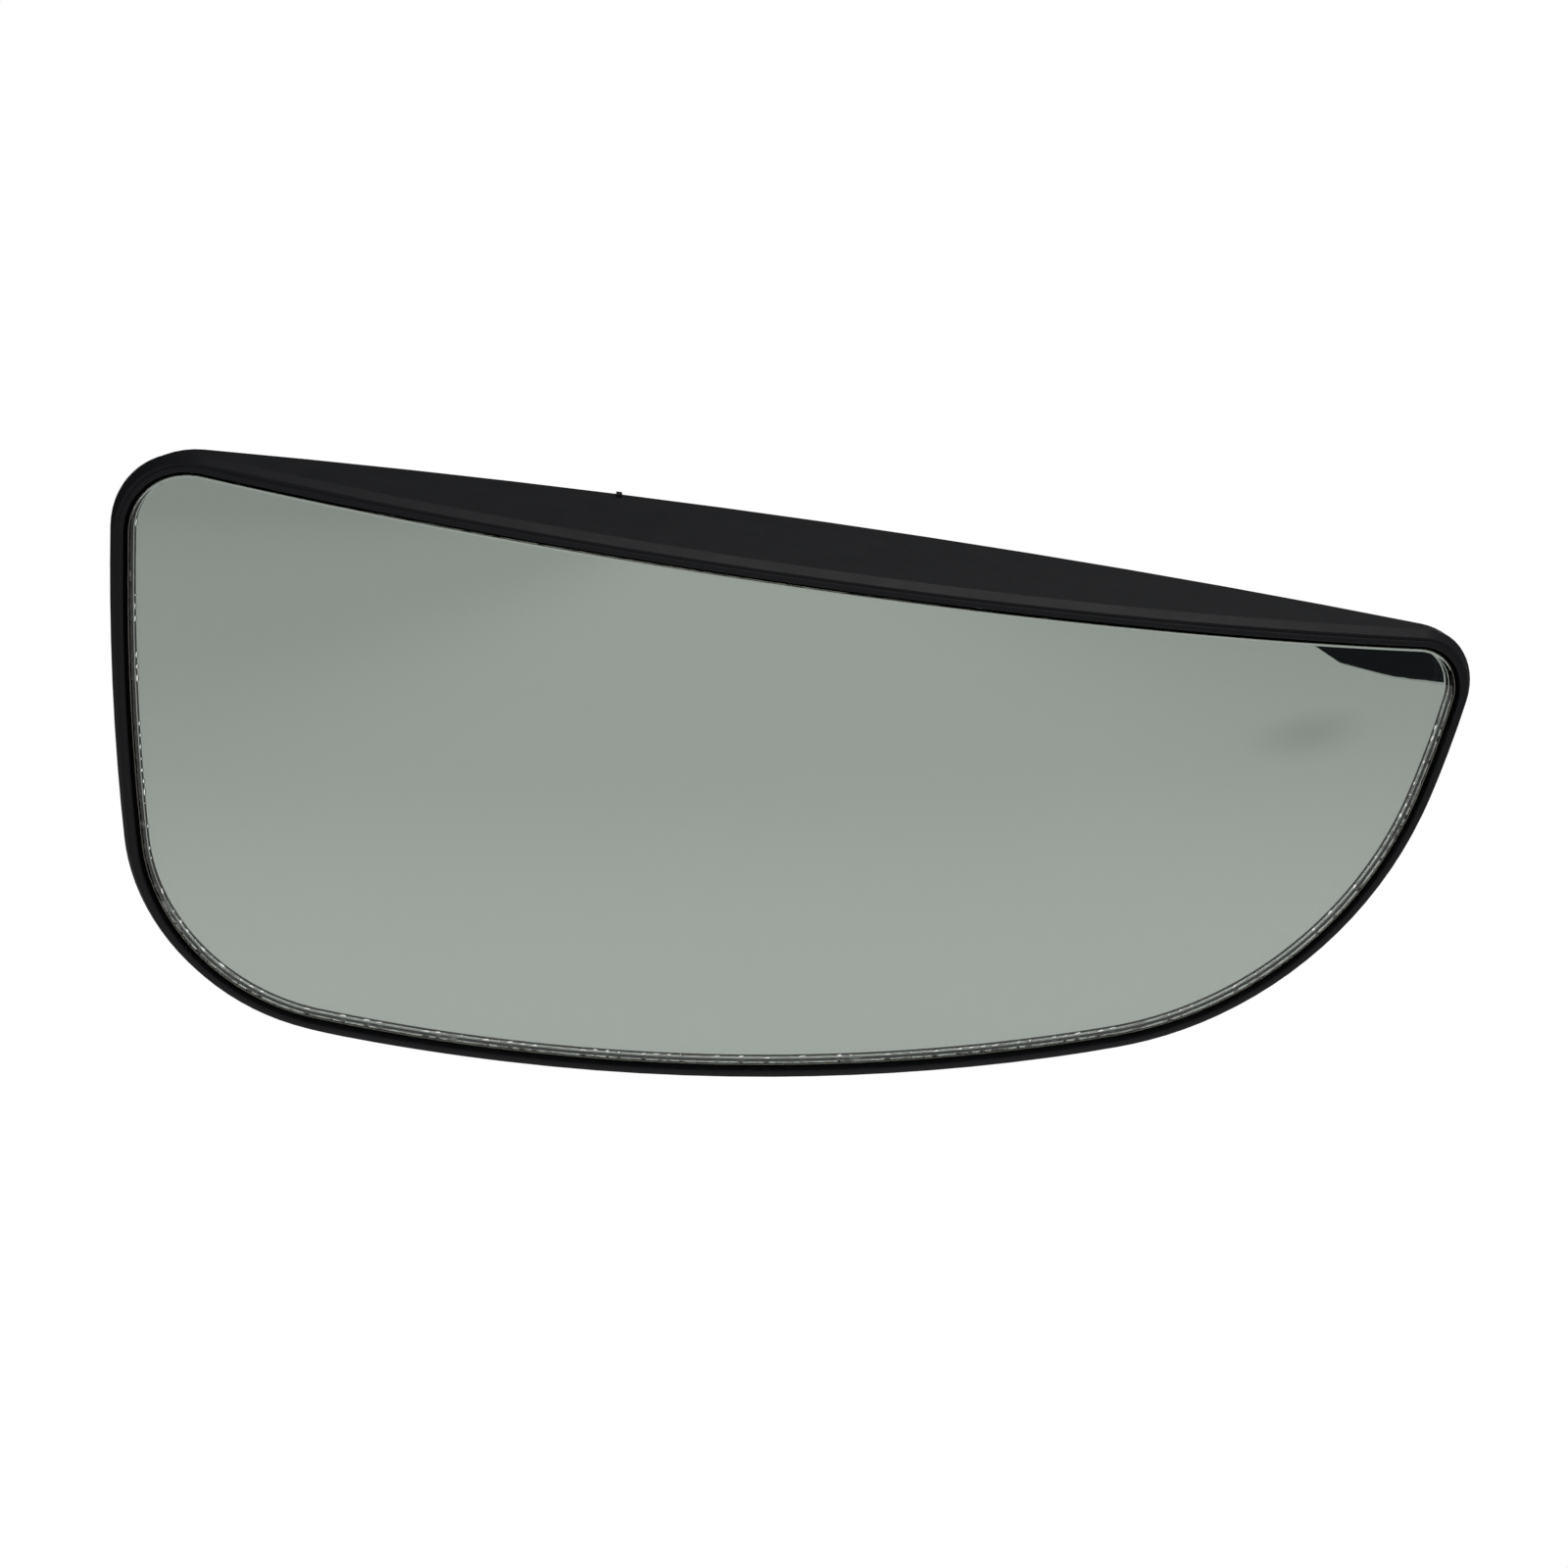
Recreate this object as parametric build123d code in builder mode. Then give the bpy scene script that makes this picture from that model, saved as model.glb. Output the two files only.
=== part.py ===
# Convex door mirror glass bonded into its backing plate
# Millimetres, +Z up, seen from the front with +X to the right. The glass faces -Y.
# The plate's flat back lies in Y = 0, and the origin is the middle of the pivot
# socket's mouth, on the axis of the sphere that the glass is bent to.

import math
import os

from build123d import *

# Glass outline: where its edges would meet if the corners were not rounded
top_left_x = -88.3
top_left_z = 43.4
top_right_x = 96.8
top_right_z = 10.2
bottom_right_x = 75.6
bottom_right_z = -40.1
bottom_left_x = -87.7
bottom_left_z = -34.4

# Glass outline: how far each edge bows outwards between those points
top_bow = 2.9
right_bow = 2.1
bottom_bow = 5.4
left_bow = 1.8

# Glass outline: corner radii
top_left_radius = 9.4
top_right_radius = 7.3
bottom_right_radius = 49.2
bottom_left_radius = 26.9

# Glass: bend, thickness, ground edge and height of its middle above the flat back
bend_radius = 235.0
glass_thickness = 2.0
edge_round = 0.35
glass_height = 21.7

# Foam pad between the glass and the plate
pad_thickness = 0.8
pad_inset = 4.0

# Rim of the backing plate, from the glass outwards
edge_clearance = 0.6
lip_width = 0.8
lip_rise = 0.8
lip_step = 0.35
lip_round = 0.2
shoulder_width = 0.4
bevel_width = 0.7
bevel_depth = 1.5
brim_thickness = 1.8

# Walls behind the glass
floor_thickness = 1.6
floor_root = 0.6
skirt_inset = 0.1
skirt_wall = 1.6
rib_wall = 1.4
rib_pitch = 34.0
rib_pairs = 2
rib_root = 0.9
rib_setback = 1.5

# Pivot socket: a slotted cup that snaps over a ball
ball_radius = 8.0
mouth_radius = 7.6
mouth_land = 1.4
mouth_lead_in = 0.5
finger_wall = 2.2
finger_length = 7.5
slot_width = 1.8
slot_count = 4
ring_clearance = 5.5

# Trimmed moulding gate on the upper back edge
gate_x = -22.0
gate_width = 0.8
gate_height = 0.35
gate_depth = 1.2

# Offsets of the other outlines from the glass outline
pocket_grow = edge_clearance
lip_grow = pocket_grow + lip_width
rim_grow = lip_grow + shoulder_width + bevel_width
skirt_grow = rim_grow - skirt_inset
hollow_grow = skirt_grow - skirt_wall

# Spheres that share the centre of the glass's bend, and the middle of the floor below it
sphere_centre = (0, bend_radius - glass_height, 0)
glass_back_radius = bend_radius - glass_thickness
seat_radius = glass_back_radius - pad_thickness
floor_back_radius = seat_radius - floor_thickness
lip_radius = bend_radius + lip_rise
shoulder_radius = lip_radius - lip_step
brim_middle_radius = shoulder_radius - brim_thickness / 2
brim_back_radius = shoulder_radius - brim_thickness
skirt_end_radius = brim_back_radius + (brim_thickness - bevel_depth) / 2
root_depth = glass_thickness + pad_thickness + floor_thickness / 2

# Lengths that the cutting prisms reach before and behind the flat back
rear_reach = glass_height
front_reach = glass_height + 2 * lip_rise
back_plane = Plane.XZ
rear_plane = Plane.XZ.offset(-rear_reach)
full_depth = rear_reach + front_reach


def edge_disc(start, end, bow):
    # Disc whose rim passes through both points and bows out to the left of their line
    along = end - start
    outward = along.normalized().rotate(Axis.Z, 90)
    half_chord = along.length / 2
    radius = (half_chord**2 + bow**2) / (2 * bow)
    return start + along / 2 + outward * (bow - radius), radius


def corner_centre(corner, radius, disc_before, disc_after):
    # Centre of the corner's circle, which touches the rims of both discs from inside
    reach_before = disc_before[1] - radius
    reach_after = disc_after[1] - radius
    between = disc_after[0] - disc_before[0]
    along = (reach_before**2 - reach_after**2 + between.length**2) / (2 * between.length)
    foot = disc_before[0] + between.normalized() * along
    aside = between.normalized().rotate(Axis.Z, 90) * math.sqrt(reach_before**2 - along**2)
    return min((foot + aside, foot - aside), key=lambda centre: (centre - corner).length)


def heading(start, end):
    along = end - start
    return math.degrees(math.atan2(along.Y, along.X))


# The outline runs clockwise as seen from the front, so that outwards is to its left
corners = [
    Vector(top_left_x, top_left_z),
    Vector(top_right_x, top_right_z),
    Vector(bottom_right_x, bottom_right_z),
    Vector(bottom_left_x, bottom_left_z),
]
bows = [top_bow, right_bow, bottom_bow, left_bow]
corner_radii = [top_left_radius, top_right_radius, bottom_right_radius, bottom_left_radius]
discs = [edge_disc(corners[i], corners[(i + 1) % 4], bows[i]) for i in range(4)]
centres = [corner_centre(corners[i], corner_radii[i], discs[i - 1], discs[i]) for i in range(4)]

# Eight arcs that meet smoothly: each corner, then the edge after it
arcs = []
for i in range(4):
    enter = heading(discs[i - 1][0], centres[i])
    leave = heading(discs[i][0], centres[i])
    arrive = heading(discs[i][0], centres[(i + 1) % 4])
    arcs.append((centres[i], corner_radii[i], enter, leave))
    arcs.append((*discs[i], leave, arrive))


def outline(plane, grow):
    # Every arc keeps its centre and its ends' headings, so the outline grows evenly
    with BuildSketch(plane) as face:
        with BuildLine():
            for centre, radius, start, end in arcs:
                CenterArc(centre, radius + grow, start, -((start - end) % 360))
        make_face()
    return face.sketch


# Mirror glass: a bent sheet with its front and back edges ground round
with BuildPart() as mirror_glass:
    extrude(outline(rear_plane, 0), amount=full_depth)
    with Locations(sphere_centre):
        Sphere(bend_radius, mode=Mode.INTERSECT)
        Sphere(glass_back_radius, mode=Mode.SUBTRACT)
    fillet(mirror_glass.faces().filter_by(GeomType.SPHERE).edges(), edge_round)

# Foam pad: bonds the glass to the plate's floor
with BuildPart() as adhesive_pad:
    extrude(outline(rear_plane, -pad_inset), amount=full_depth)
    with Locations(sphere_centre):
        Sphere(glass_back_radius, mode=Mode.INTERSECT)
        Sphere(seat_radius, mode=Mode.SUBTRACT)

# Raised lip around the glass, rooted in the brim
with BuildPart() as lip:
    extrude(outline(rear_plane, lip_grow), amount=full_depth)
    extrude(outline(rear_plane, pocket_grow), amount=full_depth, mode=Mode.SUBTRACT)
    with Locations(sphere_centre):
        Sphere(lip_radius, mode=Mode.INTERSECT)
        Sphere(brim_middle_radius, mode=Mode.SUBTRACT)
    lip_face = lip.faces().filter_by(GeomType.SPHERE).sort_by(Axis.Y)[0]
    fillet(lip_face.edges(), lip_round)

# Brim: follows the glass all round, with a steep bevel on its front edge
with BuildPart() as brim:
    extrude(outline(rear_plane, rim_grow), amount=full_depth)
    with Locations(sphere_centre):
        Sphere(shoulder_radius, mode=Mode.INTERSECT)
        Sphere(brim_back_radius, mode=Mode.SUBTRACT)
    brim_face = brim.faces().filter_by(GeomType.SPHERE).sort_by(Axis.Y)[0]
    chamfer(brim_face.edges(), bevel_width, bevel_depth, reference=brim_face)

# Skirt: the wall from the brim back to the flat back
with BuildPart() as skirt:
    extrude(outline(back_plane, skirt_grow), amount=front_reach)
    extrude(outline(back_plane, hollow_grow), amount=front_reach, mode=Mode.SUBTRACT)
    with Locations(sphere_centre):
        Sphere(skirt_end_radius, mode=Mode.INTERSECT)

# Floor under the glass, rooted in the brim
with BuildPart() as floor:
    extrude(outline(rear_plane, hollow_grow + floor_root), amount=full_depth)
    with Locations(sphere_centre):
        Sphere(brim_middle_radius, mode=Mode.INTERSECT)
        Sphere(floor_back_radius, mode=Mode.SUBTRACT)

# Pocket that the glass and its pad sit in
with BuildPart() as pocket:
    extrude(outline(rear_plane, pocket_grow), amount=full_depth)
    with Locations(sphere_centre):
        Sphere(seat_radius, mode=Mode.SUBTRACT)

# Stiffening ribs and the ring around the socket, rooted in the floor and the skirt
tower_radius = ball_radius + finger_wall
ring_radius = tower_radius + ring_clearance
rib_reach = max(top_right_x, -top_left_x) + rim_grow
with BuildPart() as ribs:
    with BuildSketch(back_plane.offset(rib_setback)):
        Rectangle(2 * rib_reach, rib_wall)
        with GridLocations(rib_pitch, 0, 2 * rib_pairs + 1, 1):
            Rectangle(rib_wall, 2 * rib_reach)
        Circle(ring_radius + rib_wall)
        Circle(ring_radius, mode=Mode.SUBTRACT)
    extrude(amount=front_reach)
    extrude(outline(rear_plane, hollow_grow + rib_root), amount=full_depth, mode=Mode.INTERSECT)
    with Locations(sphere_centre):
        Sphere(bend_radius - root_depth, mode=Mode.INTERSECT)

# Pivot socket: slotted fingers around a spherical seat, with a lead-in before the mouth
seat_depth = mouth_land + math.sqrt(ball_radius**2 - mouth_radius**2)
tower_plane = back_plane.offset(-mouth_lead_in)
with BuildPart() as socket:
    with BuildSketch(tower_plane):
        Circle(tower_radius)
    extrude(amount=mouth_lead_in + glass_height - root_depth)
    with Locations((0, -seat_depth, 0)):
        Sphere(ball_radius, mode=Mode.SUBTRACT)
    with BuildSketch(tower_plane):
        Circle(mouth_radius)
    extrude(amount=mouth_lead_in + seat_depth, mode=Mode.SUBTRACT)
    rear_circles = socket.edges().filter_by(GeomType.CIRCLE).group_by(Axis.Y)[-1]
    chamfer(rear_circles.sort_by(SortBy.RADIUS)[0], mouth_lead_in)
    with BuildSketch(tower_plane):
        with PolarLocations(tower_radius, slot_count, start_angle=180 / slot_count):
            Rectangle(2 * tower_radius, slot_width)
    extrude(amount=mouth_lead_in + finger_length, mode=Mode.SUBTRACT)

# Gate stub: a thin slice of a slightly larger outline
with BuildPart() as gate:
    with BuildSketch(back_plane):
        with Locations((gate_x, top_left_z)):
            Rectangle(gate_width, 2 * top_left_z)
    extrude(amount=gate_depth)
    extrude(outline(back_plane, skirt_grow + gate_height), amount=gate_depth, mode=Mode.INTERSECT)
    extrude(outline(back_plane, skirt_grow - gate_height), amount=gate_depth, mode=Mode.SUBTRACT)

# Backing plate: one moulding of all of these, with the pocket cut last from the front
with BuildPart() as backing_plate:
    add(brim.part)
    add(skirt.part)
    add(floor.part)
    add(lip.part)
    add(pocket.part, mode=Mode.SUBTRACT)
    add(ribs.part)
    add(socket.part)
    add(gate.part)

os.makedirs("parts", exist_ok=True)
mirror_glass.part.label = "mirror_glass"
adhesive_pad.part.label = "adhesive_pad"
backing_plate.part.label = "backing_plate"
export_step(mirror_glass.part, "parts/mirror_glass.step")
export_step(adhesive_pad.part, "parts/adhesive_pad.step")
export_step(backing_plate.part, "parts/backing_plate.step")
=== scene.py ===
import math
import random

import bpy
from mathutils import Matrix, Vector


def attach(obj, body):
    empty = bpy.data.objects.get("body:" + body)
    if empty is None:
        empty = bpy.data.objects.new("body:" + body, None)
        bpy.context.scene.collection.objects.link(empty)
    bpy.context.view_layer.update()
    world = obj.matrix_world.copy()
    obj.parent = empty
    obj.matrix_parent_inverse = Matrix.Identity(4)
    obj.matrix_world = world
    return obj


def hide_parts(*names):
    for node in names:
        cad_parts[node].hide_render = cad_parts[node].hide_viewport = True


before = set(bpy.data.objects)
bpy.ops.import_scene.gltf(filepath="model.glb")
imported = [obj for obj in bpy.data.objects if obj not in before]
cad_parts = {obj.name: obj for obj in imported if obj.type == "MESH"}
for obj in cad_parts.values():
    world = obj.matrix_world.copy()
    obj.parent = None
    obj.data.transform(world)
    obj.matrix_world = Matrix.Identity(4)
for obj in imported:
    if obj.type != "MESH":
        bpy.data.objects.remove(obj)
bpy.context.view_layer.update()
scene = bpy.context.scene
print("frame loaded:", sorted(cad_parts))


# A socket in a node tree. Arithmetic on it adds Math nodes, make() adds any other node
class Wire:
    def __init__(self, tree, socket=None):
        self.tree = tree
        self.socket = socket

    def make(self, kind, settings=None, inputs=None, out=0):
        node = self.tree.nodes.new(kind)
        for name, value in (settings or {}).items():
            setattr(node, name, value)
        for key, value in (inputs or {}).items():
            if isinstance(value, Wire):
                self.tree.links.new(value.socket, node.inputs[key])
            else:
                node.inputs[key].default_value = value
        return Wire(self.tree, node.outputs[out]) if node.outputs else None

    def calc(self, operation, first, second):
        return self.make("ShaderNodeMath", {"operation": operation}, {0: first, 1: second})

    def __add__(self, other):
        return self.calc("ADD", self, other)

    def __radd__(self, other):
        return self.calc("ADD", other, self)

    def __sub__(self, other):
        return self.calc("SUBTRACT", self, other)

    def __rsub__(self, other):
        return self.calc("SUBTRACT", other, self)

    def __mul__(self, other):
        return self.calc("MULTIPLY", self, other)

    def __rmul__(self, other):
        return self.calc("MULTIPLY", other, self)

    def part(self, axis):
        # One part of a vector: 0, 1 or 2 for x, y or z
        return self.make("ShaderNodeSeparateXYZ", inputs={0: self}, out=axis)

    def smooth(self, low, high):
        # 0 below low, 1 above high, eased in between; low may be the larger one
        return self.make("ShaderNodeMapRange", {"interpolation_type": "SMOOTHSTEP"},
                         {"Value": self, "From Min": low, "From Max": high})

    def blend(self, dark, light):
        # Colour from dark, which may be a socket, to light, with this value as light's share
        start = dark if isinstance(dark, Wire) else (*dark, 1)
        return self.make("ShaderNodeMix", {"data_type": "RGBA"},
                         {0: self, 6: start, 7: (*light, 1)}, out=2)


def newMaterial(name):
    material = bpy.data.materials.new(name)
    material.use_nodes = True
    material.node_tree.nodes.clear()
    return material, Wire(material.node_tree)


def ownPlace(wire):
    # Object coordinates
    return wire.make("ShaderNodeTexCoord", out=3)


def noise(wire, place, scale, detail=2.0, rough=0.5):
    return wire.make("ShaderNodeTexNoise", inputs={
        "Vector": place, "Scale": scale, "Detail": detail, "Roughness": rough})


def bumps(wire, height, strength, distance):
    return wire.make("ShaderNodeBump", inputs={
        "Height": height, "Strength": strength, "Distance": distance})


def closeMaterial(wire, surface):
    wire.make("ShaderNodeOutputMaterial", inputs={"Surface": surface})


# Black grained plastic of the backing plate. Scales are per metre, heights in metres
plasticLook = {
    "dark": (0.0056, 0.0060, 0.0072),
    "light": (0.0092, 0.0096, 0.0108),
    "specular": 0.1,
    "roughness": 0.38,
    "grainScale": 3600.0,
    "grainHeight": 0.00004,
    "grainStrength": 0.35,
    "grainTone": 0.3,
    "mottleScale": 260.0,
    "mottleTone": 0.7,
    "mottleRoughness": 0.2,
    "scuffScale": 90.0,
    "scuffStretch": (0.25, 1.0, 6.0),
    "scuffRange": (0.6, 0.74),
    "scuffTone": 0.35,
    "scuffPolish": 0.06,
}


def blackPlastic(look):
    material, wire = newMaterial("blackPlastic")
    place = ownPlace(wire)
    grain = noise(wire, place, look["grainScale"], detail=1.0)
    mottle = noise(wire, place, look["mottleScale"], detail=3.0)
    stretched = wire.make("ShaderNodeMapping", inputs={"Vector": place, "Scale": look["scuffStretch"]})
    streaks = noise(wire, stretched, look["scuffScale"], detail=4.0, rough=0.65)
    scuff = streaks.smooth(*look["scuffRange"])
    tone = mottle * look["mottleTone"] + grain * look["grainTone"] + scuff * look["scuffTone"]
    closeMaterial(wire, wire.make("ShaderNodeBsdfPrincipled", inputs={
        "Base Color": tone.blend(look["dark"], look["light"]),
        "Roughness": look["roughness"] + mottle * look["mottleRoughness"] - scuff * look["scuffPolish"],
        "Specular IOR Level": look["specular"],
        "Normal": bumps(wire, grain, look["grainStrength"], look["grainHeight"]),
    }))
    return material


# Grey closed-cell foam of the pad
foamLook = {
    "dark": (0.045, 0.046, 0.048),
    "light": (0.085, 0.086, 0.088),
    "specular": 0.2,
    "roughness": 0.8,
    "cellScale": 2600.0,
    "cellHeight": 0.0001,
    "cellStrength": 0.6,
    "cellTone": 0.6,
    "cloudScale": 260.0,
    "cloudTone": 0.5,
    "cloudRoughness": 0.15,
}


def padFoam(look):
    material, wire = newMaterial("padFoam")
    place = ownPlace(wire)
    cells = wire.make("ShaderNodeTexVoronoi", inputs={"Vector": place, "Scale": look["cellScale"]})
    cloud = noise(wire, place, look["cloudScale"])
    tone = cells * look["cellTone"] + cloud * look["cloudTone"]
    closeMaterial(wire, wire.make("ShaderNodeBsdfPrincipled", inputs={
        "Base Color": tone.blend(look["dark"], look["light"]),
        "Roughness": look["roughness"] + cloud * look["cloudRoughness"],
        "Specular IOR Level": look["specular"],
        "Normal": bumps(wire, cells, look["cellStrength"], look["cellHeight"]),
    }))
    return material


# Clear front of the glass, with a trace of haze
clearLook = {
    "tint": (0.975, 0.99, 0.978),
    "hazeTint": (0.970125, 0.98505, 0.97311),
    "index": 1.52,
    "hazeScale": 45.0,
    "hazeRange": (0.55, 0.8),
    "hazeRoughness": 0.012,
}


def clearGlass(look):
    material, wire = newMaterial("clearGlass")
    haze = noise(wire, ownPlace(wire), look["hazeScale"], detail=4.0).smooth(*look["hazeRange"])
    closeMaterial(wire, wire.make("ShaderNodeBsdfPrincipled", inputs={
        "Base Color": haze.blend(look["tint"], look["hazeTint"]),
        "Roughness": haze * look["hazeRoughness"],
        "IOR": look["index"],
        "Transmission Weight": 1.0,
    }))
    return material


def edgePlace(wire):
    # Along the outline and across the edge, both in metres
    strip = wire.make("ShaderNodeUVMap", {"uv_map": "edge"})
    return strip, strip.part(1)


# Reflecting coat on the back of the glass, chipped off along its edge
coatLook = {
    "dark": (0.331, 0.364, 0.333),
    "light": (0.339, 0.373, 0.341),
    "cloudScale": 30.0,
    "bare": (0.012, 0.011, 0.01),
    "bareRoughness": 0.4,
    "margin": 0.0005,          # how far in from the edge the chipping reaches
    "marginSoft": 0.00003,
    "raggedScale": 500.0,
}


def mirrorCoat(look):
    material, wire = newMaterial("mirrorCoat")
    strip, across = edgePlace(wire)
    cloud = noise(wire, ownPlace(wire), look["cloudScale"], detail=3.0)
    ragged = noise(wire, strip, look["raggedScale"], detail=3.0, rough=0.6)
    chipped = (across - look["margin"] * ragged).smooth(look["marginSoft"], -look["marginSoft"])
    tint = cloud.blend(look["dark"], look["light"])
    closeMaterial(wire, wire.make("ShaderNodeBsdfPrincipled", inputs={
        "Base Color": chipped.blend(tint, look["bare"]),
        "Metallic": 1 - chipped,
        "Roughness": chipped * look["bareRoughness"],
    }))
    return material


# Ground edge: clear where the grinding is fine, frosted in places and on the front round, brown
# next to it. Where the front frost and the brown lie is a depth behind the front, in metres
edgeLook = {
    "clear": (0.93, 0.94, 0.92),
    "brown": (0.5, 0.3, 0.14),
    "frost": (0.78, 0.76, 0.7),
    "index": 1.52,
    "stretch": (0.35, 1.0, 1.0),
    "chipScale": 1500.0,
    "chipHeight": 0.0001,
    "chipStrength": 0.1,
    "chipShare": 0.4,
    "patchScale": 250.0,
    "patchShare": 0.6,
    "patchRange": (0.6, 0.66),
    "patchFrost": 0.8,
    "frontRange": (0.00025, 0.00005),
    "frontFrost": 0.5,
    "brownStart": (0.00003, 0.00009),
    "brownEnd": (0.0006, 0.0002),
    "clearRoughness": (0.02, 0.08),    # least, and what the patches add
    "frostRoughness": (0.5, 0.3),
}


def groundEdge(look):
    material, wire = newMaterial("groundEdge")
    strip, across = edgePlace(wire)
    drawn = wire.make("ShaderNodeMapping", inputs={"Vector": strip, "Scale": look["stretch"]})
    chipped = noise(wire, drawn, look["chipScale"])
    patch = noise(wire, drawn, look["patchScale"], detail=3.0)
    front = across.smooth(*look["frontRange"])
    brown = across.smooth(*look["brownEnd"]) * across.smooth(*look["brownStart"])
    bump = bumps(wire, chipped, look["chipStrength"], look["chipHeight"])
    smoothest, added = look["clearRoughness"]
    clear = wire.make("ShaderNodeBsdfPrincipled", inputs={
        "Base Color": brown.blend(look["clear"], look["brown"]),
        "Roughness": smoothest + patch * added,
        "IOR": look["index"],
        "Transmission Weight": 1.0,
        "Normal": bump,
    })
    smoothest, added = look["frostRoughness"]
    frosted = wire.make("ShaderNodeBsdfPrincipled", inputs={
        "Base Color": brown.blend(look["frost"], look["brown"]),
        "Roughness": smoothest + patch * added,
        "Normal": bump,
    })
    mixed = patch * look["patchShare"] + chipped * look["chipShare"]
    patches = mixed.smooth(*look["patchRange"]) * look["patchFrost"]
    frost = wire.calc("MAXIMUM", patches, front * look["frontFrost"])
    closeMaterial(wire, wire.make("ShaderNodeMixShader", inputs={0: frost, 1: clear, 2: frosted}))
    return material


# Mirror glass: an outline of eight arcs carried in rings over two spheres. Metres
glass = {
    "corners": [(-0.0883, 0.0434), (0.0968, 0.0102), (0.0756, -0.0401), (-0.0877, -0.0344)],
    "bows": [0.0029, 0.0021, 0.0054, 0.0018],
    "radii": [0.0094, 0.0073, 0.0492, 0.0269],
    "bend": 0.235,
    "thickness": 0.00196,  # a hair less than the solid, so that the pad stays behind the coat
    "height": 0.02168,     # and as little lower, so that the sheet stays in the solid's box
    "round": 0.00016,
    "steps": 1080,         # points around the outline
    "roundSteps": 4,
    "wallRows": 6,
    "insets": [0.0004, 0.0006, 0.001, 0.0018, 0.003, 0.0045],
    "rings": 22,           # from the last inset to the middle
    "seed": 11,
    "chipDepth": 0.00003,  # deepest chip in the ground edge
}


def edgeDisc(start, end, bow):
    along = end - start
    outward = Vector((-along.y, along.x)).normalized()
    radius = ((along.length / 2) ** 2 + bow**2) / (2 * bow)
    return start + along / 2 + outward * (bow - radius), radius


def cornerCentre(corner, radius, before, after):
    reachBefore = before[1] - radius
    reachAfter = after[1] - radius
    between = after[0] - before[0]
    gap = between.length
    along = (reachBefore**2 - reachAfter**2 + gap**2) / (2 * gap)
    foot = before[0] + between / gap * along
    aside = Vector((-between.y, between.x)) / gap * math.sqrt(reachBefore**2 - along**2)
    return min((foot + aside, foot - aside), key=lambda centre: (centre - corner).length)


def heading(start, end):
    return math.atan2(end.y - start.y, end.x - start.x)


def outlineArcs(spec):
    corners = [Vector(corner) for corner in spec["corners"]]
    radii = spec["radii"]
    discs = [edgeDisc(corners[i], corners[(i + 1) % 4], spec["bows"][i]) for i in range(4)]
    centres = [cornerCentre(corners[i], radii[i], discs[i - 1], discs[i]) for i in range(4)]
    arcs = []
    for i in range(4):
        enter = heading(discs[i - 1][0], centres[i])
        leave = heading(discs[i][0], centres[i])
        arrive = heading(discs[i][0], centres[(i + 1) % 4])
        arcs.append((centres[i], radii[i], enter, (enter - leave) % math.tau))
        arcs.append((*discs[i], leave, (leave - arrive) % math.tau))
    return arcs


def outlinePoints(spec):
    # Evenly spaced points with the outward direction at each, clockwise seen from the front
    arcs = outlineArcs(spec)
    lengths = [radius * sweep for _, radius, _, sweep in arcs]
    pace = sum(lengths) / spec["steps"]
    points = []
    for step in range(spec["steps"]):
        way = (step + 0.5) * pace
        for (centre, radius, start, sweep), length in zip(arcs, lengths):
            if way <= length:
                break
            way -= length
        angle = start - sweep * min(way / length, 1.0)
        outward = Vector((math.cos(angle), math.sin(angle)))
        points.append((centre + outward * radius, outward))
    return points


def sheetPoint(spec, flat, depth):
    # Below a point of the front sphere, so that the edge stands square to the bent sheet
    centre = Vector((0, spec["bend"] - spec["height"], 0))
    out = Vector((flat.x, -math.sqrt(spec["bend"] ** 2 - flat.length_squared), flat.y))
    return centre + out * (1 - depth / spec["bend"])


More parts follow.
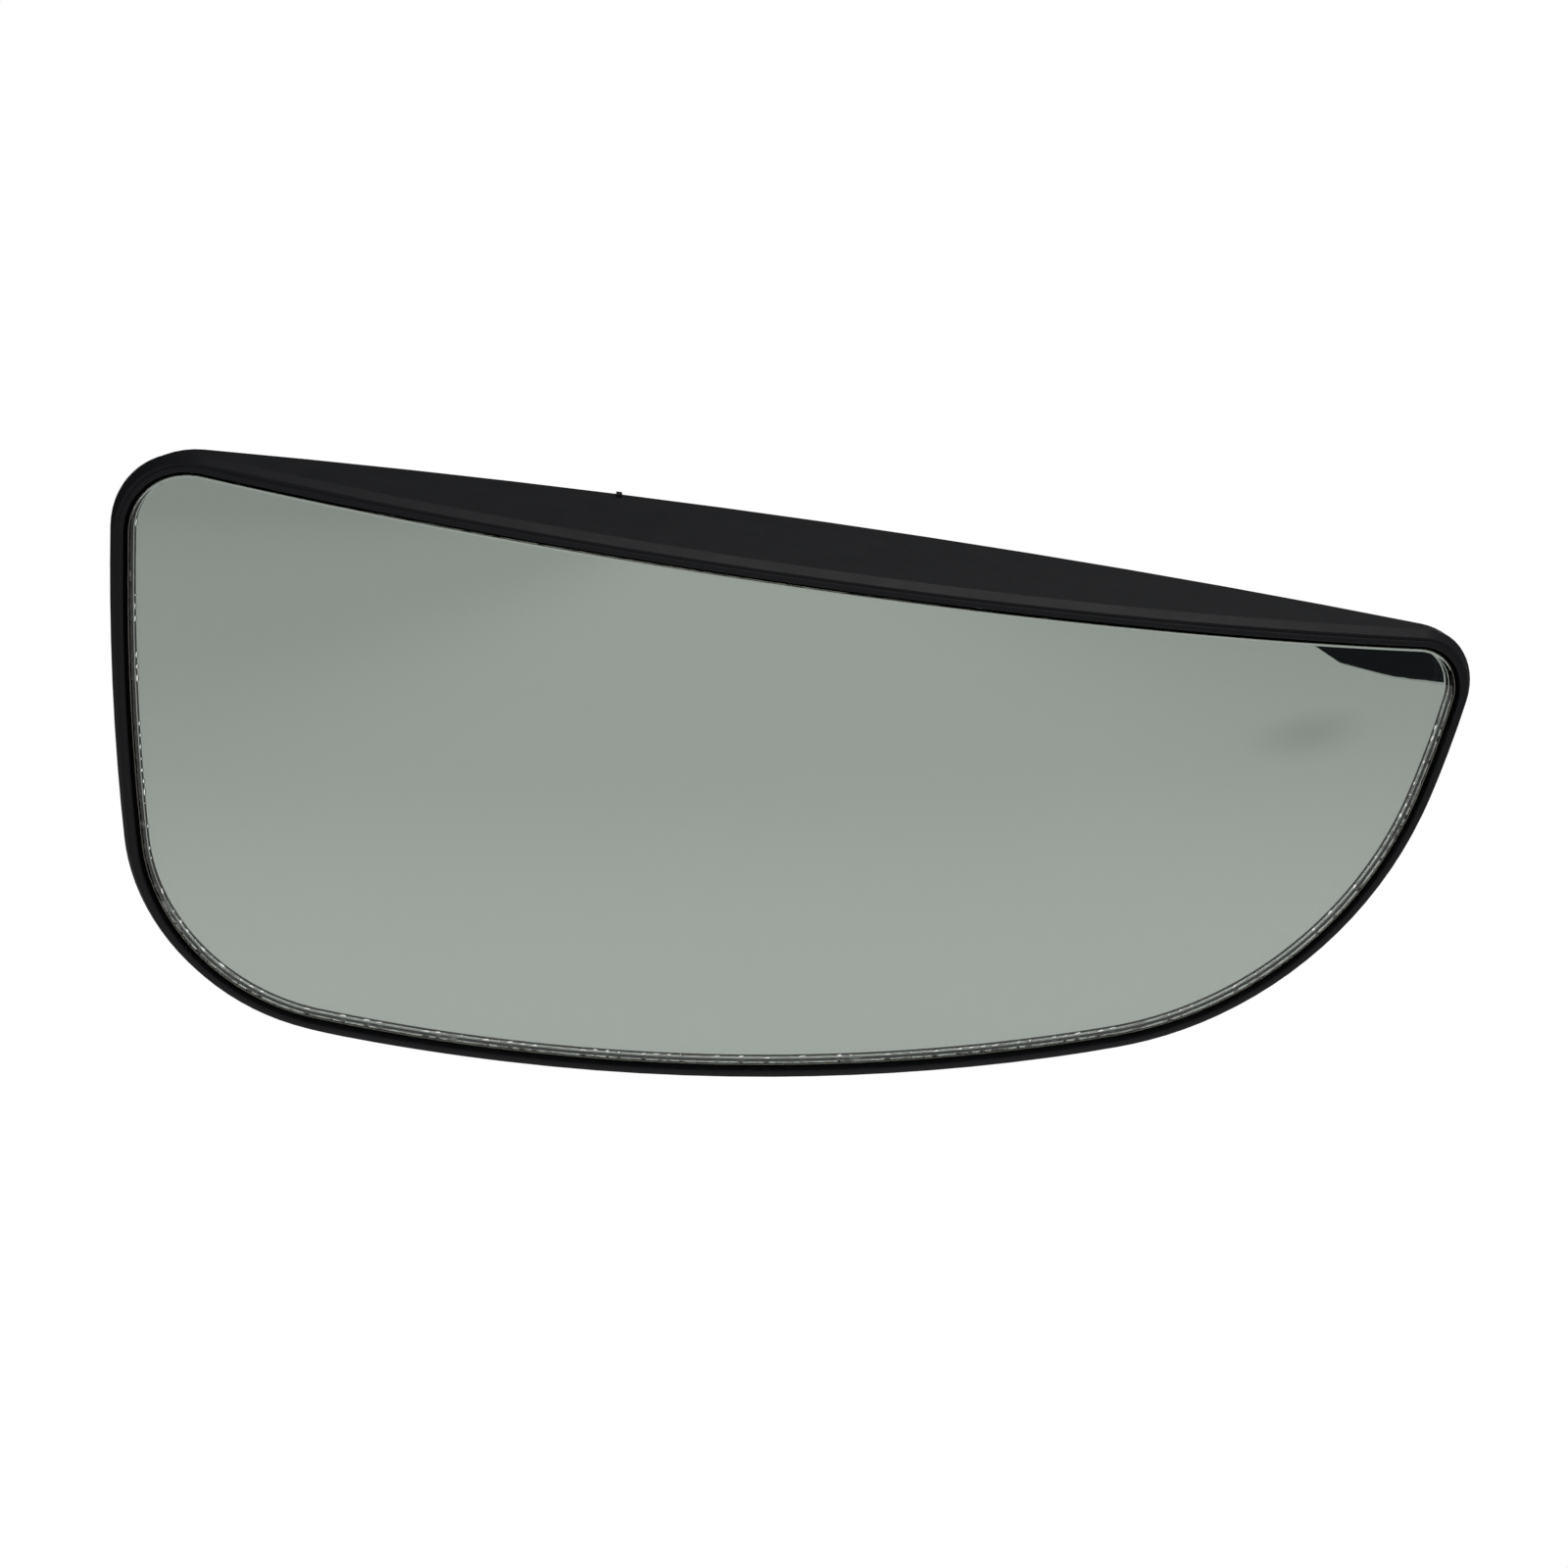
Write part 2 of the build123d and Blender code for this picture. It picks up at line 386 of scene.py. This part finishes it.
def buildGlass(spec):
    points = outlinePoints(spec)
    count = len(points)
    pace = (points[1][0] - points[0][0]).length
    thickness = spec["thickness"]
    edgeRound = spec["round"]
    rand = random.Random(spec["seed"])
    vertices, acrossEdge, faces, looks = [], [], [], []

    def inset(amount):
        return [point - outward * amount for point, outward in points]

    def addRing(plan, depth, across, look):
        # Joins a ring of sheet points to the one before it
        first = len(vertices)
        vertices.extend(sheetPoint(spec, flat, depth) for flat in plan)
        acrossEdge.append(across)
        if first == 0:
            return
        before = first - count
        for i in range(count):
            j = (i + 1) % count
            faces.append((before + i, before + j, first + j, first + i))
            looks.append(look)

    # Plan outlines from the ground round to near the middle, and the section of the round
    plans = [(inset(amount), amount) for amount in spec["insets"]]
    last, deepest = plans[-1]
    for ring in range(1, spec["rings"]):
        plans.append(([point * (1 - ring / spec["rings"]) for point in last], deepest))
    section = []
    for step in range(spec["roundSteps"] + 1):
        angle = math.pi / 2 * step / spec["roundSteps"]
        section.append((edgeRound * (1 - math.sin(angle)), edgeRound * (1 - math.cos(angle))))

    # Front from the middle to the round
    for plan, amount in reversed(plans):
        addRing(plan, 0, amount, "front")
    for inward, depth in section:
        addRing(inset(edgeRound - inward), depth, depth, "edge" if depth else "front")

    # Ground wall with chips, then the back from its round to the middle
    for row in range(1, spec["wallRows"]):
        depth = edgeRound + (thickness - 2 * edgeRound) * row / spec["wallRows"]
        plan = []
        for point, outward in points:
            chip = spec["chipDepth"] * rand.random() ** 3
            plan.append(point - outward * chip)
        addRing(plan, depth, depth, "edge")
    for inward, depth in reversed(section):
        addRing(inset(edgeRound - inward), thickness - depth, thickness, "edge")
    for plan, amount in plans:
        addRing(plan, thickness, amount - edgeRound, "back")

    # Fans that close the middle of the front and the back
    lastRing = len(vertices) - count
    frontPole = len(vertices)
    vertices.append(sheetPoint(spec, Vector((0, 0)), 0))
    vertices.append(sheetPoint(spec, Vector((0, 0)), thickness))
    for i in range(count):
        j = (i + 1) % count
        faces.append((j, i, frontPole))
        faces.append((lastRing + i, lastRing + j, frontPole + 1))
        looks += ["front", "back"]

    mesh = bpy.data.meshes.new("mirrorGlass")
    mesh.from_pydata(vertices, [], faces)
    strip = mesh.uv_layers.new(name="edge")
    order = ("front", "edge", "back")
    for polygon, look in zip(mesh.polygons, looks):
        polygon.material_index = order.index(look)
        polygon.use_smooth = True
        columns = [vertex % count for vertex in polygon.vertices]
        closing = max(columns) == count - 1 and min(columns) == 0
        for loop, vertex, column in zip(polygon.loop_indices, polygon.vertices, columns):
            ring = min(vertex // count, len(acrossEdge) - 1)
            along = count if closing and column == 0 else column
            strip.data[loop].uv = (along * pace, acrossEdge[ring])
    mesh.update()
    piece = bpy.data.objects.new("mirrorGlass", mesh)
    scene.collection.objects.link(piece)
    for material in (clearGlass(clearLook), groundEdge(edgeLook), mirrorCoat(coatLook)):
        mesh.materials.append(material)
    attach(piece, "root")
    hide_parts("mirror_glass")
    return piece


mirrorGlass = buildGlass(glass)
print("mirror glass:", len(mirrorGlass.data.polygons), "faces")


# Chips along the back edge of the glass: bright flat flakes scattered on a path before the coat
chips = {
    "inset": 0.0006,
    "lift": 0.0002,
    "spacing": 0.0017,
    "share": 0.6,                 # how many of the places on the path have a chip
    "length": 0.0006,             # half sizes: along the path, across it and towards the front
    "width": 0.00022,
    "flat": 0.00005,
    "least": (0.5, 0.5, 0.15),    # share of flat, width and length that the smallest chip has
    "drift": 0.0001,
    "upperEdge": 0.4,             # no chips where the outline faces up more than this
    "seed": 7,
}

flakeLook = {
    "dark": (0.85, 0.85, 0.83),
    "light": (0.97, 0.97, 0.96),
    "grainScale": 2500.0,
    "roughness": 0.1,
    "grainRoughness": 0.2,
}


def flakeWhite(look):
    material, wire = newMaterial("flakeWhite")
    grain = noise(wire, ownPlace(wire), look["grainScale"])
    closeMaterial(wire, wire.make("ShaderNodeBsdfPrincipled", inputs={
        "Base Color": grain.blend(look["dark"], look["light"]),
        "Roughness": look["roughness"] + grain * look["grainRoughness"],
        "Metallic": 1.0,
    }))
    return material


def chipTree(spec):
    tree = bpy.data.node_groups.new("edgeChips", "GeometryNodeTree")
    tree.interface.new_socket("path", in_out="INPUT", socket_type="NodeSocketGeometry")
    for name in ("spacing", "share", "length", "width", "flat", "drift"):
        tree.interface.new_socket(name, in_out="INPUT", socket_type="NodeSocketFloat")
    tree.interface.new_socket("seed", in_out="INPUT", socket_type="NodeSocketInt")
    tree.interface.new_socket("finish", in_out="INPUT", socket_type="NodeSocketMaterial")
    tree.interface.new_socket("chips", in_out="OUTPUT", socket_type="NodeSocketGeometry")
    wire = Wire(tree)
    entry = wire.make("NodeGroupInput").socket.node
    given = {output.name: Wire(tree, output) for output in entry.outputs}

    # Places along the path, shaken a little, with the flat side of each turned to the front
    path = wire.make("GeometryNodeMeshToCurve", inputs={0: given["path"]})
    places = wire.make("GeometryNodeCurveToPoints", {"mode": "LENGTH"},
                       {"Curve": path, "Length": given["spacing"]})
    along = Wire(tree, places.socket.node.outputs["Rotation"])
    turned = wire.make("FunctionNodeAlignRotationToVector", {"axis": "X", "pivot_axis": "Z"},
                       {"Rotation": along, "Vector": (0, -1, 0)})
    drift = wire.make("ShaderNodeCombineXYZ", inputs={"X": given["drift"], "Z": given["drift"]})
    shake = wire.make("FunctionNodeRandomValue", {"data_type": "FLOAT_VECTOR"},
                      {0: (-1, -1, -1), 1: (1, 1, 1), "Seed": given["seed"]})
    shift = wire.make("ShaderNodeVectorMath", {"operation": "MULTIPLY"}, {0: shake, 1: drift})
    loose = wire.make("GeometryNodeSetPosition", inputs={"Geometry": places, "Offset": shift})

    # One sliver at some of the places, each of its own size
    kept = wire.make("FunctionNodeRandomValue", {"data_type": "BOOLEAN"},
                     {"Probability": given["share"], "Seed": given["seed"] + 1}, out=3)
    full = wire.make("ShaderNodeCombineXYZ",
                     inputs={"X": given["flat"], "Y": given["width"], "Z": given["length"]})
    vary = wire.make("FunctionNodeRandomValue", {"data_type": "FLOAT_VECTOR"},
                     {0: spec["least"], 1: (1, 1, 1), "Seed": given["seed"] + 2})
    scaled = wire.make("ShaderNodeVectorMath", {"operation": "MULTIPLY"}, {0: vary, 1: full})
    sliver = wire.make("GeometryNodeMeshIcoSphere", inputs={"Radius": 1.0, "Subdivisions": 1})
    scattered = wire.make("GeometryNodeInstanceOnPoints", inputs={
        "Points": loose, "Selection": kept, "Instance": sliver, "Rotation": turned, "Scale": scaled})
    plain = wire.make("GeometryNodeRealizeInstances", inputs={0: scattered})
    finished = wire.make("GeometryNodeSetMaterial",
                         inputs={"Geometry": plain, "Material": given["finish"]})
    wire.make("NodeGroupOutput", inputs={"chips": finished})
    return tree


def buildChips(spec, sheet):
    # The path leaves out the upper edge, where no chips show
    points = outlinePoints(sheet)
    depth = sheet["thickness"] - spec["lift"]
    path = [sheetPoint(sheet, point - outward * spec["inset"], depth) for point, outward in points]
    shown = [outward.y < spec["upperEdge"] for _, outward in points]
    steps = [((i - 1) % len(path), i) for i in range(len(path)) if shown[i - 1] and shown[i]]
    mesh = bpy.data.meshes.new("chipPath")
    mesh.from_pydata(path, steps, [])
    carrier = bpy.data.objects.new("chipPath", mesh)
    scene.collection.objects.link(carrier)
    modifier = carrier.modifiers.new("chips", "NODES")
    modifier.node_group = chipTree(spec)
    values = {**spec, "finish": flakeWhite(flakeLook)}
    for item in modifier.node_group.interface.items_tree:
        if item.in_out == "INPUT" and item.name in values:
            modifier[item.identifier] = values[item.name]
    graph = bpy.context.evaluated_depsgraph_get()
    chipMesh = bpy.data.meshes.new_from_object(carrier.evaluated_get(graph), depsgraph=graph)
    bpy.data.objects.remove(carrier)
    piece = bpy.data.objects.new("edgeChips", chipMesh)
    scene.collection.objects.link(piece)
    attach(piece, "root")
    return piece


edgeChips = buildChips(chips, glass)
print("edge chips:", len(edgeChips.data.polygons), "faces")


def dressNode(name, material):
    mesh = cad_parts[name].data
    mesh.materials.clear()
    mesh.materials.append(material)


dressNode("backing_plate", blackPlastic(plasticLook))
dressNode("adhesive_pad", padFoam(foamLook))
print("plate and pad dressed")


# Stage: a white floor well below the part that ends at the right, a soft room and two lamps.
# The floor's glow, as glass and metal show it, holds painted shade: dimmer away from the part, to its
# sides and behind it, with a painted shadow in one place
stage = {
    "floorZ": -0.35,
    "floorOutline": [(-12.0, -14.0), (6.3, -14.0), (0.985, -0.92), (0.915, -0.76), (0.893, -0.62),
                     (0.893, 8.0), (-12.0, 8.0)],
    "floorColour": (0.8, 0.8, 0.8),
    # painted shade in the floor's glow as glass and metal show it; the camera sees the floor evenly
    # white
    "dimNear": 0.12,
    "nearRange": (0.35, 0.9),
    "dimSide": 0.13,
    "sideRange": (0.35, 1.1),
    "dimFar": 0.1,
    "farRange": (1.0, 4.0),
    "dimBack": 0.7,
    "backRange": (-0.05, 0.3),
    # painted shadow: a darker place in the floor's glow that only glass and metal show
    "paintedShadow": (0.68, -0.59),
    "paintedShadowSize": 0.11,
    "paintedShadowDim": 0.13,
    "roomFront": 0.95,
    "roomBack": 0.045,
    "frontRange": (0.3, -0.7),
    "roomRight": 0.15,         # added at the back towards the right
    "rightRange": (0.2, 0.5),
    "roomDark": (0.018, 0.019, 0.023),
    "horizon": (-0.03, 0.0),
    "lamps": {
        "key": {"place": (0.5, 0.5, 1.2), "size": (1.0, 1.0), "power": 10.5},
        "lowRear": {"place": (0.1, 1.2, -0.2), "size": (1.4, 0.25), "power": 7.0},
    },
}


def viewRays(wire):
    # 1 for what the camera sees directly, and 1 for what it sees in metal or through glass
    seen = wire.make("ShaderNodeLightPath")
    outputs = seen.socket.node.outputs
    glossy = Wire(wire.tree, outputs["Is Glossy Ray"])
    passing = Wire(wire.tree, outputs["Is Transmission Ray"])
    return seen, wire.calc("MAXIMUM", glossy, passing)


def buildFloor(spec):
    mesh = bpy.data.meshes.new("floor")
    outline = [(x, y, spec["floorZ"]) for x, y in spec["floorOutline"]]
    mesh.from_pydata(outline, [], [tuple(range(len(outline)))])
    floor = bpy.data.objects.new("floor", mesh)
    scene.collection.objects.link(floor)
    material, wire = newMaterial("paleFloor")
    place = wire.make("ShaderNodeNewGeometry")
    side = wire.calc("ABSOLUTE", place.part(0), 0.0)
    behind = place.part(1).smooth(*spec["backRange"])
    away = wire.make("ShaderNodeVectorMath", {"operation": "DISTANCE"},
                     {0: place, 1: (*spec["paintedShadow"], spec["floorZ"])}, out=1)
    paintedShadow = away.smooth(spec["paintedShadowSize"], 0.0)
    flat = wire.make("ShaderNodeVectorMath", {"operation": "MULTIPLY"}, {0: place, 1: (1, 1, 0)})
    reach = wire.make("ShaderNodeVectorMath", {"operation": "LENGTH"}, {0: flat}, out=1)
    # painted shade: the glow that glass and metal show dims near the part, to its sides, far off and
    # behind it, and in a painted shadow
    paintedShadeLevel = (1 - spec["dimNear"] * reach.smooth(*spec["nearRange"])
            - spec["dimSide"] * side.smooth(*spec["sideRange"])
            - spec["dimFar"] * side.smooth(*spec["farRange"])
            - spec["dimBack"] * behind - spec["paintedShadowDim"] * paintedShadow)
    seen, mirrored = viewRays(wire)
    pale = wire.make("ShaderNodeBsdfDiffuse", inputs={"Color": (*spec["floorColour"], 1)})
    white = wire.make("ShaderNodeEmission", inputs={"Strength": seen + (1 - seen) * paintedShadeLevel})
    shown = wire.calc("MAXIMUM", seen, mirrored)
    closeMaterial(wire, wire.make("ShaderNodeMixShader", inputs={0: shown, 1: pale, 2: white}))
    mesh.materials.append(material)


def buildRoom(spec):
    world = bpy.data.worlds.new("softRoom")
    world.use_nodes = True
    scene.world = world
    world.node_tree.nodes.clear()
    wire = Wire(world.node_tree)
    way = wire.make("ShaderNodeTexCoord")
    inFront = way.part(1).smooth(*spec["frontRange"])
    toRight = way.part(0).smooth(*spec["rightRange"])
    above = way.part(2).smooth(*spec["horizon"])
    room = (spec["roomBack"] + (spec["roomFront"] - spec["roomBack"]) * inFront
            + spec["roomRight"] * toRight * (1 - inFront))
    seen = wire.make("ShaderNodeLightPath")
    level = wire.make("ShaderNodeBackground", inputs={"Color": (1, 1, 1, 1), "Strength": room})
    dark = wire.make("ShaderNodeBackground", inputs={"Color": (*spec["roomDark"], 1)})
    white = wire.make("ShaderNodeBackground", inputs={"Color": (1, 1, 1, 1)})
    unseen = wire.make("ShaderNodeMixShader", inputs={0: above, 1: dark, 2: level})
    shown = wire.make("ShaderNodeMixShader", inputs={0: seen, 1: unseen, 2: white})
    wire.make("ShaderNodeOutputWorld", inputs={"Surface": shown})


def buildLamps(spec):
    for name, lamp in spec["lamps"].items():
        light = bpy.data.lights.new(name, "AREA")
        light.shape = "RECTANGLE"
        light.size, light.size_y = lamp["size"]
        light.energy = lamp["power"]
        holder = bpy.data.objects.new(name, light)
        holder.location = lamp["place"]
        holder.rotation_euler = Vector(lamp["place"]).to_track_quat("Z", "Y").to_euler()
        scene.collection.objects.link(holder)


buildFloor(stage)
buildRoom(stage)
buildLamps(stage)
print("stage set")


# Camera at the photograph's angle. Degrees, metres, and pixels of a 1600 square image
shot = {
    "target": (0.0, -0.0212, 0.005),
    "targetPixel": (806, 779),
    "azimuth": -3.9,
    "elevation": 24.0,
    "distance": 0.72,
    "focalPixels": 5400,
    "image": 1600,
    "sensor": 36.0,            # millimetres
    "nearest": 0.01,
}


def buildCamera(spec):
    azimuth = math.radians(spec["azimuth"])
    elevation = math.radians(spec["elevation"])
    away = Vector((math.sin(azimuth) * math.cos(elevation),
                   -math.cos(azimuth) * math.cos(elevation), math.sin(elevation)))
    lens = bpy.data.cameras.new("camera")
    lens.sensor_width = spec["sensor"]
    lens.lens = spec["sensor"] * spec["focalPixels"] / spec["image"]
    lens.shift_x = 0.5 - spec["targetPixel"][0] / spec["image"]
    lens.shift_y = spec["targetPixel"][1] / spec["image"] - 0.5
    lens.clip_start = spec["nearest"]
    camera = bpy.data.objects.new("camera", lens)
    camera.matrix_world = (Matrix.Translation(Vector(spec["target"]) + away * spec["distance"])
                           @ away.to_track_quat("Z", "Y").to_matrix().to_4x4())
    scene.collection.objects.link(camera)
    scene.camera = camera


buildCamera(shot)
scene.view_settings.view_transform = "Standard"
print("camera set")
